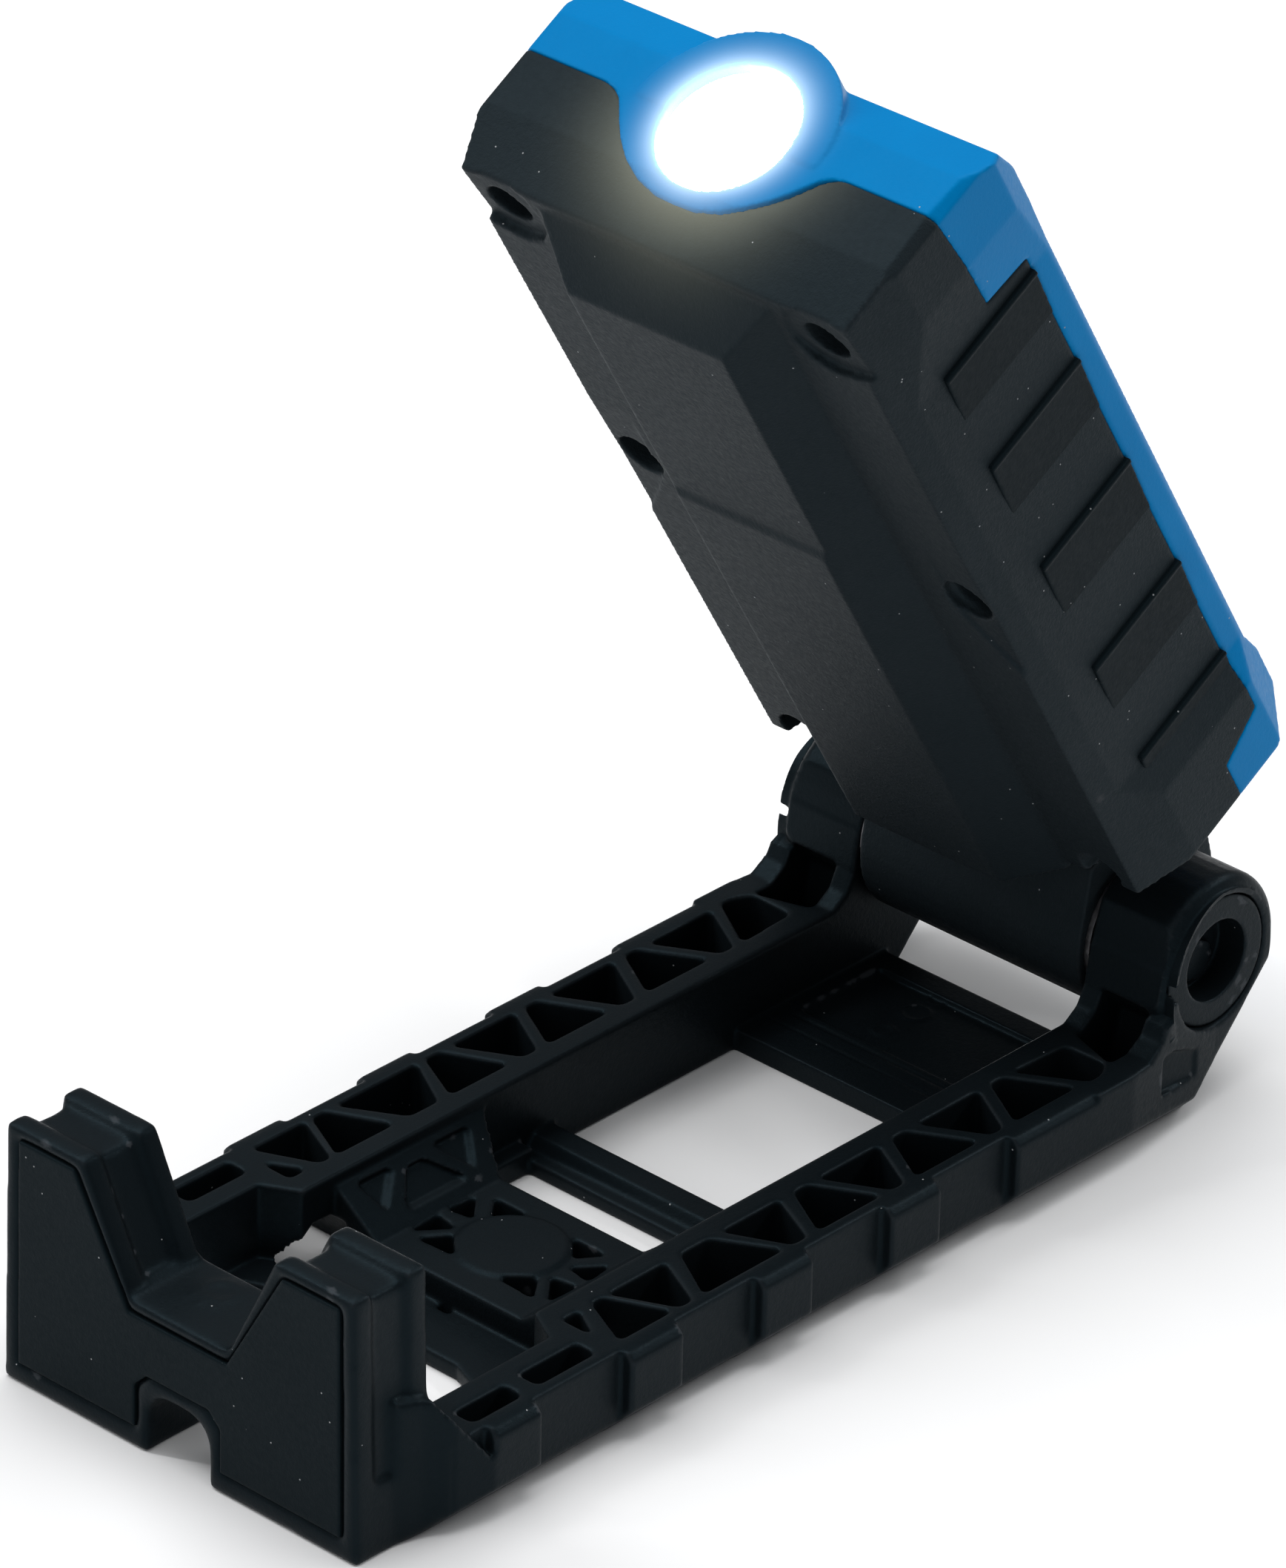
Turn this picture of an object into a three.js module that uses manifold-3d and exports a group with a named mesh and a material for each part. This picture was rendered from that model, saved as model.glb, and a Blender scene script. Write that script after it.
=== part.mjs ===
// Folding work light: a lamp head with a flood panel and an end spot, hinged on a magnetic stand.
// Millimetres, +Z up. The stand lies along Y with its foot towards -Y and its hinge towards +Y.
import * as THREE from "three";
import { mergeVertices } from "three/addons/utils/BufferGeometryUtils.js";
import Module from "manifold-3d";

const wasm = await Module();
wasm.setup();

// ---- overall placing ----
const LENGTH_CENTRE = 75.5;      // middle of the lamp's length, measured from the foot's front face
const HINGE_Y = 139.0;           // hinge axis behind the foot's front face
const HINGE_Z = 18.9;            // hinge axis above the floor
const HEAD_LEAN = 31.07;         // degrees the head leans from upright over the stand
const HINGE_DEPTH = 4.64;        // hinge axis in front of the head's rear ledge

// ---- stand rails ----
const RAIL_TOP = 11.7;
const RAIL_INNER = 17.7;         // inner wall, half width
const RAIL_INNER_FOOT = 22.3;    // inner wall beside the foot opening
const RAIL_OUTER = 29.85;        // outer wall between the raised grip pads
const PAD_OUTER = 31.5;          // outer wall on the grip pads
const RAIL_JOG_Y = 34.8;         // where the inner wall steps outwards towards the foot
const RAIL_END_Y = 122.1;        // where the rail becomes the hinge lug
const POCKET_FLOOR = 2.4;
const GRIP_PADS = [[17, 24.3], [38.3, 46.7], [59.6, 67.8], [80.7, 89.1], [102, 122.1]];

// Truss pockets in each rail: centre along Y, long side, short side, wall that has the long side.
const TRUSS_POCKETS = [
  [44.0, 8.4, 1.6, "outer"],
  [50.4, 9.2, 2.0, "inner"],
  [59.8, 13.0, 4.5, "outer"],
  [68.9, 9.4, 2.3, "inner"],
  [77.2, 10.4, 2.2, "outer"],
  [85.2, 10.0, 2.0, "inner"],
  [93.6, 10.6, 2.2, "outer"],
  [102.0, 10.4, 1.9, "inner"],
  [110.4, 10.6, 2.1, "outer"],
];
const POCKET_INNER = 20.8;
const POCKET_OUTER = 28.2;

// ---- foot ----
const FOOT_HEIGHT = 33;
const FOOT_PLATE = 3.2;          // thickness of the front plate
const FOOT_GROOVE_END = 8.4;     // the groove behind the plate ends here
const FOOT_DEPTH = 11.5;
const FOOT_HALF = 27.2;
const VALLEY_HALF = 7.5;
const VALLEY_FLOOR = 18.6;
const EAR_INNER = 14.5;          // half gap between the tops of the ears
const EAR_HALF = 26.4;
const NOTCH_HALF = 4.7;
const NOTCH_HEIGHT = 8;
const PAD_RECESS = 1.2;
const PAD_THICK = 1.15;
const PAD_GAP = 0.15;
const FOOT_MAGNET = { x: 16.2, z: 14.5, radius: 7, thick: 2 };

// ---- floor plates of the stand ----
const MAGNET_PLATE = { start: 42.3, end: 62.4, top: 5.5, half: 11 };
const BASE_MAGNET = { y: 52.5, radius: 6, thick: 2 };
const DISC_RADIUS = 6.45;        // low disc over the base magnet
const GUSSET = { start: 42.3, end: 66.6, top: 10.4 };   // slanted webs from the plate up to the rails

// Triangular pockets round the disc, on the +X side of the plate.
const PLATE_POCKETS = [
  [[3.4, 58.9], [6.3, 55.8], [8.6, 58.9]],
  [[7.4, 54.0], [10.8, 53.4], [10.4, 57.6]],
  [[7.3, 51.2], [10.7, 51.8], [10.6, 47.2]],
  [[3.3, 46.8], [6.5, 49.9], [8.9, 46.6]],
];

// Shallow pockets in each slanted web: [along Y, height above the floor].
const WEB_POCKETS = [
  [[45.0, 9.7], [50.9, 9.5], [46.3, 7.0]],
  [[56.9, 9.7], [63.2, 9.6], [60.2, 6.8]],
  [[52.3, 9.0], [55.0, 9.0], [58.8, 6.4], [48.6, 6.4]],
];
const HINGE_PLATE = { start: 108.8, end: 135, top: 2.8 };

// ---- hinge ----
const LUG_INNER = 17.7;
const EYE_RADIUS = 10.6;
const BARREL_RADIUS = 10.4;
const BARREL_HALF = 16.9;
const PLUG_RADIUS = 8.2;
const PLUG_SHAFT = 6.0;
const PLUG_RECESS = 5.1;
const BOLT_RADIUS = 1.5;

// ---- lamp head, drawn upright: depth in front of the rear ledge, along = height above the hinge ----
const HEAD_HALF = 28.8;
const HEAD_END_HALF = 30;
const SHELL_WALL = 2;
const PARTING_GAP = 0.2;
const KEEL = { height: 5.5, top: 11, base: 16.9, start: 18, end: 117 };
const SPOT = { depth: 15.8, lens: 8.5, boss: 11.7, ring: 13, end: 127.0 };
const PARTING_END = 15.1;        // depth of the parting line on the end face

// Where the blue front dips round the spot on the end face: half width and depth.
const SPOT_BORDER = [
  [0, 5.3], [3, 5.5], [6, 6.3], [8.6, 7.7], [10.8, 9.5], [12.6, 11.4], [13.8, 12.9], [14.8, 14.1], [16.2, 14.9],
  [18.5, 15.2],
];
const WINDOW = { half: 19, start: 46, end: 107 };
const SCREWS = [[23.2, 119.4], [24.6, 73.3], [22.9, 20.6]];
const PORT = { back: 9, front: 18.8, start: 30, end: 48.2 };
const BUTTON = { half: 7, start: 33.2, end: 42 };
const PIPE = { x: 11.5, along: 38, radius: 1.15 };
const GRIP = { inner: 27.6, base: 28.7, start: 26.5, end: 106.9, back: 7.8, front: 23.7 };
const GRIP_EDGES = [106.9, 91.2, 73.0, 54.0, 36.7];

// ---- colours ----
const MATERIALS = {
  stand_plastic: [0x171a1f, 0.5, 0],
  shell_black: [0x24272b, 0.65, 0],
  shell_blue: [0x0a72c8, 0.4, 0],
  soft_rubber: [0x1b1d20, 0.8, 0],
  steel: [0x9a9da2, 0.35, 0.9],
  magnet: [0xb8bcc0, 0.25, 0.9],
  clear_lens: [0xf2f7ff, 0.1, 0],
  diffuser: [0xf4f1e2, 0.35, 0],
  reflector: [0xd6d9dc, 0.15, 0.9],
  circuit_board: [0x1f6b3a, 0.6, 0],
  cell_wrap: [0x3a6fb0, 0.5, 0],
};

function material(name) {
  const [color, roughness, metalness] = MATERIALS[name];
  return new THREE.MeshStandardMaterial({ color, roughness, metalness, name });
}

// ---- turning shapes into solids ----
function solidOf(geometry) {
  geometry.deleteAttribute("normal");
  geometry.deleteAttribute("uv");
  const merged = mergeVertices(geometry, 1e-4);
  return new wasm.Manifold(new wasm.Mesh({
    numProp: 3,
    vertProperties: new Float32Array(merged.attributes.position.array),
    triVerts: new Uint32Array(merged.index.array),
  }));
}

function shapeOf(points) {
  return new THREE.Shape(points.map(([a, b]) => new THREE.Vector2(a, b)));
}

// Extrudes an outline; the three axes say where its first, second and extrusion directions go.
function extrude(points, from, to, axes) {
  const geometry = new THREE.ExtrudeGeometry(shapeOf(points), { depth: to - from, bevelEnabled: false });
  geometry.translate(0, 0, from);
  geometry.applyMatrix4(new THREE.Matrix4().makeBasis(...axes));
  return solidOf(geometry);
}

const X = new THREE.Vector3(1, 0, 0);
const Y = new THREE.Vector3(0, 1, 0);
const Z = new THREE.Vector3(0, 0, 1);
const MINUS_Y = new THREE.Vector3(0, -1, 0);

// Outline in (x, y), standing from z0 to z1.
function prismZ(points, z0, z1) {
  return extrude(points, z0, z1, [X, Y, Z]);
}

// Outline in (x, z), running from y0 to y1.
function prismY(points, y0, y1) {
  return extrude(points, -y1, -y0, [X, Z, MINUS_Y]);
}

// Outline in (y, z), running from x0 to x1.
function prismX(points, x0, x1) {
  return extrude(points, x0, x1, [Y, Z, X]);
}

function box(x0, x1, y0, y1, z0, z1) {
  return prismZ([[x0, y0], [x1, y0], [x1, y1], [x0, y1]], z0, z1);
}

function circle(cx, cy, radius, steps = 32) {
  const points = [];
  for (let i = 0; i < steps; i++) {
    const angle = (2 * Math.PI * i) / steps;
    points.push([cx + radius * Math.cos(angle), cy + radius * Math.sin(angle)]);
  }
  return points;
}

function arc(cx, cy, radius, fromDeg, toDeg, steps) {
  const points = [];
  for (let i = 0; i <= steps; i++) {
    const angle = THREE.MathUtils.degToRad(fromDeg + ((toDeg - fromDeg) * i) / steps);
    points.push([cx + radius * Math.cos(angle), cy + radius * Math.sin(angle)]);
  }
  return points;
}

// Rounds every corner of an outline with a short curve that starts and ends 'size' from the corner.
function rounded(points, size, steps = 3) {
  const result = [];
  const count = points.length;
  for (let i = 0; i < count; i++) {
    const corner = new THREE.Vector2(...points[i]);
    const before = new THREE.Vector2(...points[(i + count - 1) % count]);
    const after = new THREE.Vector2(...points[(i + 1) % count]);
    const reachIn = Math.min(size, 0.45 * corner.distanceTo(before));
    const reachOut = Math.min(size, 0.45 * corner.distanceTo(after));
    const start = corner.clone().add(before.clone().sub(corner).setLength(reachIn));
    const end = corner.clone().add(after.clone().sub(corner).setLength(reachOut));
    const curve = new THREE.QuadraticBezierCurve(start, corner, end);
    for (const point of curve.getPoints(steps)) {
      result.push([point.x, point.y]);
    }
  }
  return result;
}

// Mirrors a half outline, listed from the centre line round to the centre line, across x = 0.
function symmetric(half) {
  const other = half.map(([x, y]) => [-x, y]).reverse();
  return [...half, ...other];
}

function addAll(solids) {
  return solids.reduce((sum, solid) => sum.add(solid));
}

function cutAll(body, cutters) {
  return cutters.reduce((rest, cutter) => rest.subtract(cutter), body);
}

function flipX(points, side) {
  return points.map(([x, y]) => [x * side, y]);
}

// ---- the stand's moulded frame ----
function rail(side) {
  const plan = [
    [RAIL_INNER_FOOT, 11], [RAIL_OUTER, 11], [RAIL_OUTER, RAIL_END_Y],
    [RAIL_INNER, RAIL_END_Y], [RAIL_INNER, RAIL_JOG_Y + 2.5], [RAIL_INNER_FOOT, RAIL_JOG_Y],
  ];
  const section = [
    [17.2, 0], [27.2, 0], [30, 2.8], [30, RAIL_TOP], [17.2, RAIL_TOP],
  ];
  const body = prismZ(flipX(plan, side), 0, RAIL_TOP);
  return body.intersect(prismY(flipX(section, side), 10, RAIL_END_Y + 1));
}

function gripPad(side, start, end) {
  const section = [[27, 0], [27.3, 0], [PAD_OUTER, 4.2], [PAD_OUTER, 10.6], [30.6, 11.6], [27, 11.6]];
  return prismY(flipX(section, side), start, end);
}

function trussPocket(side, centre, longSide, shortSide, wide) {
  const outer = wide === "outer" ? longSide : shortSide;
  const inner = wide === "outer" ? shortSide : longSide;
  const outline = [
    [POCKET_INNER, centre - inner / 2], [POCKET_OUTER, centre - outer / 2],
    [POCKET_OUTER, centre + outer / 2], [POCKET_INNER, centre + inner / 2],
  ];
  return prismZ(rounded(flipX(outline, side), 0.7, 2), POCKET_FLOOR, RAIL_TOP + 1);
}

function railPockets(side) {
  const ends = [
    [[25.5, 16.6], [28.3, 16.6], [28.3, 24.3], [25.5, 24.3]],
    [[25.2, 27], [28.1, 27], [28.1, 36], [25.2, 36]],
    [[20.8, 38.4], [25.4, 38.5], [21.0, 41.0]],
    [[20.8, 113.1], [28.5, 117.8], [28.3, 119.8], [27.1, 122.0], [21.3, 121.8]],
  ];
  const pockets = TRUSS_POCKETS.map((pocket) => trussPocket(side, ...pocket));
  for (const outline of ends) {
    pockets.push(prismZ(rounded(flipX(outline, side), 0.7, 2), POCKET_FLOOR, RAIL_TOP + 1));
  }
  return pockets;
}

function footOutline() {
  return symmetric([
    [VALLEY_HALF, VALLEY_FLOOR], [EAR_INNER, FOOT_HEIGHT], [EAR_HALF, FOOT_HEIGHT],
    [FOOT_HALF, 0], [NOTCH_HALF, 0],
    ...arc(NOTCH_HALF - 3.3, NOTCH_HEIGHT - 3.3, 3.3, 0, 90, 4),
  ]);
}

function padOutline(grow) {
  return symmetric([
    [7.4 - grow * 0.5, 17.1 + grow], [15.6 - grow, 31.5 + grow],
    [24.5 + grow, 31.5 + grow], [24.9 + grow, 2.6 - grow], [6.4 - grow, 2.6 - grow],
    [6.4 - grow, 8.0 - grow], [4.6 - grow, 9.8 - grow],
  ]);
}

// The groove behind the front plate, over the ears and down both flanks.
function footGroove() {
  const core = symmetric([
    [VALLEY_HALF + 0.6, VALLEY_FLOOR - 0.6], [EAR_INNER + 0.7, FOOT_HEIGHT - 1.2],
    [EAR_HALF - 0.8, FOOT_HEIGHT - 1.2], [FOOT_HALF - 0.8, 0],
  ]);
  const above = box(-40, 40, FOOT_PLATE, FOOT_GROOVE_END, 19.2, 40);
  const left = box(-40, -24, FOOT_PLATE, FOOT_GROOVE_END, 9, 40);
  const right = box(24, 40, FOOT_PLATE, FOOT_GROOVE_END, 9, 40);
  return addAll([above, left, right]).subtract(prismY(core, 0, 12));
}

function foot() {
  const block = prismY(footOutline(), 0, FOOT_DEPTH);
  const padRecess = prismY(padOutline(0), -1, PAD_RECESS);
  const magnets = [-1, 1].map((side) =>
    prismY(circle(side * FOOT_MAGNET.x, FOOT_MAGNET.z, FOOT_MAGNET.radius + 0.15), 0.5, PAD_RECESS + 2.2));
  return cutAll(block, [padRecess, footGroove(), ...magnets]);
}

function skirt(side) {
  const plan = [
    [FOOT_HALF - 4, 6], [FOOT_HALF, 6], [28.2, 9.2], [30.2, 12.2], [PAD_OUTER, 17],
    [PAD_OUTER, 18.4], [FOOT_HALF - 4, 18.4],
  ];
  const profile = [[6, 0], [18.4, 0], [18.4, 3], [16.6, 8.5], [12.2, 14.4], [10.2, 17.5], [6, 18]];
  const section = [[22, 0], [27.3, 0], [PAD_OUTER, 4.2], [PAD_OUTER, 20], [22, 20]];
  return prismZ(flipX(plan, side), 0, 18)
    .intersect(prismX(profile, side > 0 ? 20 : -34, side > 0 ? 34 : -20))
    .intersect(prismY(flipX(section, side), 5, 20));
}

function earBracket(side) {
  const profile = [[11, 0], [15.5, 0], [18, 3], [14.5, 9], [12.2, 18.6], [11, 18.6]];
  return prismX(profile, side > 0 ? 15.5 : -24, side > 0 ? 24 : -15.5);
}

function valleyShelf() {
  const outline = [[11, 15.6], [11.8, 16.4], [11.8, VALLEY_FLOOR], [11, VALLEY_FLOOR]];
  return prismX(outline, -9, 9);
}

function footBrace(side) {
  const outline = [[22.5, 30], [22.5, 36.5], [RAIL_INNER + 1, 41.5], [RAIL_INNER + 1, 45.5], [1, 45.5], [1, 41.5], [13, 36]];
  return prismZ(flipX(outline, side), 0, 2.2);
}

function magnetPlate() {
  const plate = box(-MAGNET_PLATE.half - 1, MAGNET_PLATE.half + 1, MAGNET_PLATE.start, MAGNET_PLATE.end, 0, MAGNET_PLATE.top);
  const pockets = [];
  for (const side of [-1, 1]) {
    for (const outline of PLATE_POCKETS) {
      pockets.push(prismZ(rounded(flipX(outline, side), 0.4, 2), 1.6, 8));
    }
  }
  const boss = prismZ(circle(0, BASE_MAGNET.y, DISC_RADIUS), 1, MAGNET_PLATE.top + 0.35);
  const magnetSeat = prismZ(circle(0, BASE_MAGNET.y, BASE_MAGNET.radius + 0.1), -1, 3.1);
  const coverSeat = prismZ(circle(0, BASE_MAGNET.y, BASE_MAGNET.radius + 1.1), -1, 0.9);
  return cutAll(plate.add(boss), [...pockets, magnetSeat, coverSeat]);
}

// The slanted web between the magnet plate and a rail, with shallow pockets between its ribs.
function plateWeb(side) {
  const section = [
    [MAGNET_PLATE.half, 0], [MAGNET_PLATE.half, MAGNET_PLATE.top], [RAIL_INNER + 0.1, GUSSET.top], [RAIL_INNER + 0.1, 0],
  ];
  const outline = [
    [GUSSET.start, 0], [GUSSET.end - 4.2, 0], [GUSSET.end - 4.2, MAGNET_PLATE.top],
    [GUSSET.end, GUSSET.top], [GUSSET.start, GUSSET.top],
  ];
  const web = prismY(flipX(section, side), GUSSET.start, GUSSET.end)
    .intersect(prismX(outline, side > 0 ? 0 : -20, side > 0 ? 20 : 0));
  const lowered = prismY(flipX(section, side), GUSSET.start - 5, GUSSET.end + 5).translate(0, 0, -0.9);
  const pockets = WEB_POCKETS.map((pocket) =>
    prismX(rounded(pocket, 0.4, 2), side > 0 ? 10 : -18, side > 0 ? 18 : -10).subtract(lowered));
  return cutAll(web, pockets);
}

function plateLinks() {
  const links = [-1, 1].map((side) =>
    prismZ(flipX([[15.5, 62], [18.4, 62], [18.4, 72.5], [15.5, 72.5]], side), 0, 3.2));
  const bar = prismX([[71.7, 0], [78, 0], [78, 3.4], [74.6, 3.4], [73.6, 1.9], [71.7, 1.9]], -18.4, 18.4);
  return addAll([...links, bar]);
}

function hingePlate() {
  const plate = box(-18.4, 18.4, HINGE_PLATE.start, HINGE_PLATE.end, 0, HINGE_PLATE.top);
  const step = box(-15.5, 15.5, 117.6, 131.5, HINGE_PLATE.top - 0.7, 6);
  const line = box(-17, 17, 113.3, 113.8, HINGE_PLATE.top - 0.4, 6);
  return cutAll(plate, [step, line]);
}

// The hinge lug: an eye on two walls, with an open pocket between the walls in front of the eye.
function lug(side) {
  const outline = [
    [116, 0], [137.3, 0], [148.6, 11.9], [149.6, 14.2],
    ...arc(HINGE_Y, HINGE_Z, EYE_RADIUS, 0, 138, 13),
    [130.4, 23.6], [129.5, 20], [128.9, 16], [127.6, 13.2], [125.4, RAIL_TOP], [116, RAIL_TOP],
  ];
  const face = [
    [RAIL_INNER, 112], [PAD_OUTER, 112], [PAD_OUTER, 122.1], [29.4, 139], [28.8, 151], [RAIL_INNER, 151],
  ];
  const flank = [[15, 0], [27.3, 0], [PAD_OUTER, 4.2], [PAD_OUTER, 12], [30.4, 31], [15, 31]];
  const xRange = side > 0 ? [LUG_INNER, 33] : [-33, -LUG_INNER];
  const body = prismX(outline, ...xRange)
    .intersect(prismZ(flipX(face, side), 0, 32))
    .intersect(prismY(flipX(flank, side), 110, 152));
  const rearSection = [[15, 20], [15, 100.5], [26.7, 100.5], [32, 95.2], [32, 20]];
  const rearNormal = new THREE.Vector3(0, 0.732, -0.681);
  const rearRun = new THREE.Vector3(0, 0.681, 0.732);
  const rearChamfer = extrude(flipX(rearSection, side), 0, 200, [X, rearNormal, rearRun]);
  const pocketPlan = [[20.6, 124.6], [27.4, 122.4], [27.4, 133], [20.6, 133]];
  const pocketSide = [[118, 5], [131, 5], [134, 20.6], [118, 20.6]];
  const pocket = prismZ(rounded(flipX(pocketPlan, side), 0.6, 2), 4, 22)
    .intersect(prismX(pocketSide, -33, 33))
    .subtract(prismX(circle(HINGE_Y, HINGE_Z, PLUG_RADIUS + 1.2), -33, 33));
  const faceMark = prismX(
    [[128.2, 6.0], [135.2, 5.6], [135.2, 9.2], [130.4, 11], [128.2, 11]],
    side > 0 ? 29.6 : -40,
    side > 0 ? 40 : -29.6,
  );
  return cutAll(body.intersect(rearChamfer), [pocket, faceMark]);
}

function lugBore(side) {
  const x0 = side > 0 ? LUG_INNER - 1 : -34;
  const x1 = side > 0 ? 34 : -LUG_INNER + 1;
  const round = prismX(circle(HINGE_Y, HINGE_Z, PLUG_RADIUS + 0.15, 40), x0, x1);
  const key = prismX([[129.4, 17.4], [132, 17.4], [132, 19.6], [129.4, 19.6]], x0, x1);
  return round.add(key);
}

function standFrame() {
  const pieces = [foot(), valleyShelf(), magnetPlate(), plateLinks(), hingePlate()];
  const cuts = [];
  for (const side of [-1, 1]) {
    pieces.push(rail(side), skirt(side), earBracket(side), footBrace(side), plateWeb(side), lug(side));
    for (const [start, end] of GRIP_PADS) {
      pieces.push(gripPad(side, start, end));
    }
    cuts.push(...railPockets(side), lugBore(side));
  }
  return cutAll(addAll(pieces), cuts);
}

function footPad() {
  return prismY(padOutline(-PAD_GAP), 0, PAD_THICK);
}

function footMagnet(side) {
  const disc = circle(side * FOOT_MAGNET.x, FOOT_MAGNET.z, FOOT_MAGNET.radius);
  return prismY(disc, PAD_RECESS + 0.05, PAD_RECESS + 0.05 + FOOT_MAGNET.thick);
}

function baseMagnet() {
  return prismZ(circle(0, BASE_MAGNET.y, BASE_MAGNET.radius), 0.95, 0.95 + BASE_MAGNET.thick);
}

function baseMagnetCover() {
  return prismZ(circle(0, BASE_MAGNET.y, BASE_MAGNET.radius + 1.0), 0.05, 0.9);
}

// ---- hinge parts that stay with the stand ----
function hingePlug(side) {
  const outerFace = 28.9;
  const from = (x) => (side > 0 ? x : -x);
  const along = (points, a, b) => prismX(points, Math.min(from(a), from(b)), Math.max(from(a), from(b)));
  const flange = along(circle(HINGE_Y, HINGE_Z, PLUG_RADIUS, 40), LUG_INNER, outerFace);
  const key = along([[130, 17.6], [131.6, 17.6], [131.6, 19.4], [130, 19.4]], LUG_INNER, outerFace);
  const shaft = along(circle(HINGE_Y, HINGE_Z, PLUG_SHAFT, 40), 9, LUG_INNER);
  const recess = along(circle(HINGE_Y, HINGE_Z, PLUG_RECESS, 40), 13, outerFace + 2);
  const boltHole = along(circle(HINGE_Y, HINGE_Z, BOLT_RADIUS + 0.1, 20), 8, 20);
  return flange.add(key).add(shaft).subtract(recess).subtract(boltHole);
}

function hingeBolt() {
  const shank = prismX(circle(HINGE_Y, HINGE_Z, BOLT_RADIUS, 20), -16, 13.2);
  const head = prismX(circle(HINGE_Y, HINGE_Z, 2.8, 24), 13.05, 15.4);
  const socket = prismX(circle(HINGE_Y, HINGE_Z, 1.4, 6), 14.1, 16);
  return shank.add(head).subtract(socket);
}

function hingeNut() {
  const hexagon = circle(HINGE_Y, HINGE_Z, 3.1, 6);
  return prismX(hexagon, -15.4, -13.05).subtract(prismX(circle(HINGE_Y, HINGE_Z, BOLT_RADIUS + 0.02, 20), -17, -12));
}

function frictionWasher(side) {
  const x0 = side > 0 ? BARREL_HALF + 0.05 : -LUG_INNER + 0.05;
  const x1 = side > 0 ? LUG_INNER - 0.05 : -BARREL_HALF - 0.05;
  const disc = prismX(circle(HINGE_Y, HINGE_Z, 9.4, 36), x0, x1);
  return disc.subtract(prismX(circle(HINGE_Y, HINGE_Z, PLUG_SHAFT + 0.1, 36), x0 - 1, x1 + 1));
}

// ---- lamp head, drawn upright about the hinge axis: x across, y depth, z along ----
function headProfile(inset = 0) {
  return [
    [inset, 19.0 + inset], [12.3, 16.4 + inset], [17.4, 16.3 + inset], [24.0, 17.3 + inset],
    [29.3 - inset, 22.9 + inset], [29.3 - inset, 29.5], [27.9 - inset, 34.1], [27.8 - inset, 107.5],
    [28.2 - inset, 113.5], [28.2 - inset, 119.5], [26.5 - inset * 0.7, 124 - inset * 0.7], [21, 126.5 - inset],
    [15, 126.8 - inset], [7.5, 126.6 - inset], [inset, 124.0 - inset],
  ];
}

function headPlan(inset = 0) {
  return symmetric([
    [HEAD_END_HALF - inset - 1.5, 16 + inset], [HEAD_END_HALF - inset, 18 + inset], [HEAD_END_HALF - inset, 30],
    [HEAD_HALF - inset, 35.5], [HEAD_HALF - inset, 107], [HEAD_END_HALF - inset, 117],
    [HEAD_END_HALF - inset, 125.6 - inset], [HEAD_END_HALF - 1.2 - inset, 127 - inset],
  ]);
}

function headSection(inset = 0) {
  return symmetric([
    [HEAD_HALF - 0.8 - inset, inset], [HEAD_HALF - 0.1 - inset, 3], [HEAD_END_HALF - inset, 8],
    [HEAD_END_HALF - inset, 25], [HEAD_END_HALF - 3 - inset, 30 - inset],
  ]);
}

function headBlock(inset = 0) {
  return prismX(headProfile(inset), -32, 32)
    .intersect(prismY(headPlan(inset), -1, 31))
    .intersect(prismZ(headSection(inset), 10, 130));
}

function keel(inset = 0) {
  const section = symmetric([[KEEL.top - inset, -KEEL.height + inset], [KEEL.base - inset, 0.02], [KEEL.base - inset, 4]]);
  const profile = [
    [4, KEEL.start - 1 + inset], [-1, KEEL.start - 0.6 + inset], [-KEEL.height + inset, KEEL.start + inset],
    [-KEEL.height + inset, KEEL.end - inset], [0, 122.6 - inset], [4, 123.4 - inset],
  ];
  return prismZ(section, 15, 126).intersect(prismX(profile, -20, 20));
}

// The ring round the spot lens: wider where it stands proud of the front, narrower over the end face.
function spotBoss() {
  const wide = prismZ(circle(0, SPOT.depth, SPOT.ring, 40), 112, SPOT.end);
  const front = wide.intersect(box(-20, 20, PARTING_END, 40, 100, 140));
  const flush = prismZ(circle(0, SPOT.depth, SPOT.boss, 40), 112, SPOT.end).intersect(headBlock());
  return front.add(flush);
}

function headOuter() {
  return headBlock().add(keel()).add(spotBoss());
}

// Everything in front of the parting line, seen from the side.
function frontRegion(gap) {
  return prismX([
    [40, 5], [17 + gap, 5], [17 + gap, 23.6 - gap], [24 + gap, 26.2 - gap], [24 + gap, 108.8 + gap],
    [16.9 + gap, 109.3 + gap], [PARTING_END + gap, 126.8], [PARTING_END + gap, 140], [40, 140],
  ], -40, 40);
}

// The part of the end face that belongs to the blue front round the spot.
function spotRegion(grow) {
  const half = SPOT_BORDER.map(([x, depth]) => [x + (x > 0 ? grow : 0), depth - grow]);
  const outline = [...half, [18.5 + grow, 20], [-18.5 - grow, 20], ...flipX(half.slice(1), -1).reverse()];
  return prismZ(outline, 118, 140);
}

function headCavity() {
  const block = headBlock(SHELL_WALL).intersect(box(-40, 40, -1, 40, 10, 124));
  const spotRoom = prismZ(circle(0, SPOT.depth, SPOT.boss - SHELL_WALL, 40), 112, SPOT.end - SHELL_WALL);
  const keelRoom = keel(SHELL_WALL).intersect(box(-40, 40, -10, 4, 20.5, 114));
  return addAll([block, spotRoom, keelRoom]);
}

function screwPost(x, along) {
  return prismY(circle(x, along, 3.4, 20), 1, 23);
}

function screwHole(x, along) {
  const shank = prismY(circle(x, along, 1.35, 16), 0, 18.6);
  const head = prismY(circle(x, along, 2.7, 20), -8, 6.4);
  const mouth = prismY(circle(x, along, 4.3, 24), -8, -0.2);
  return shank.add(head).add(mouth);
}

function allScrews(make) {
  const made = [];
  for (const side of [-1, 1]) {
    for (const [x, along] of SCREWS) {
      made.push(make(side * x, along));
    }
  }
  return made;
}

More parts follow.
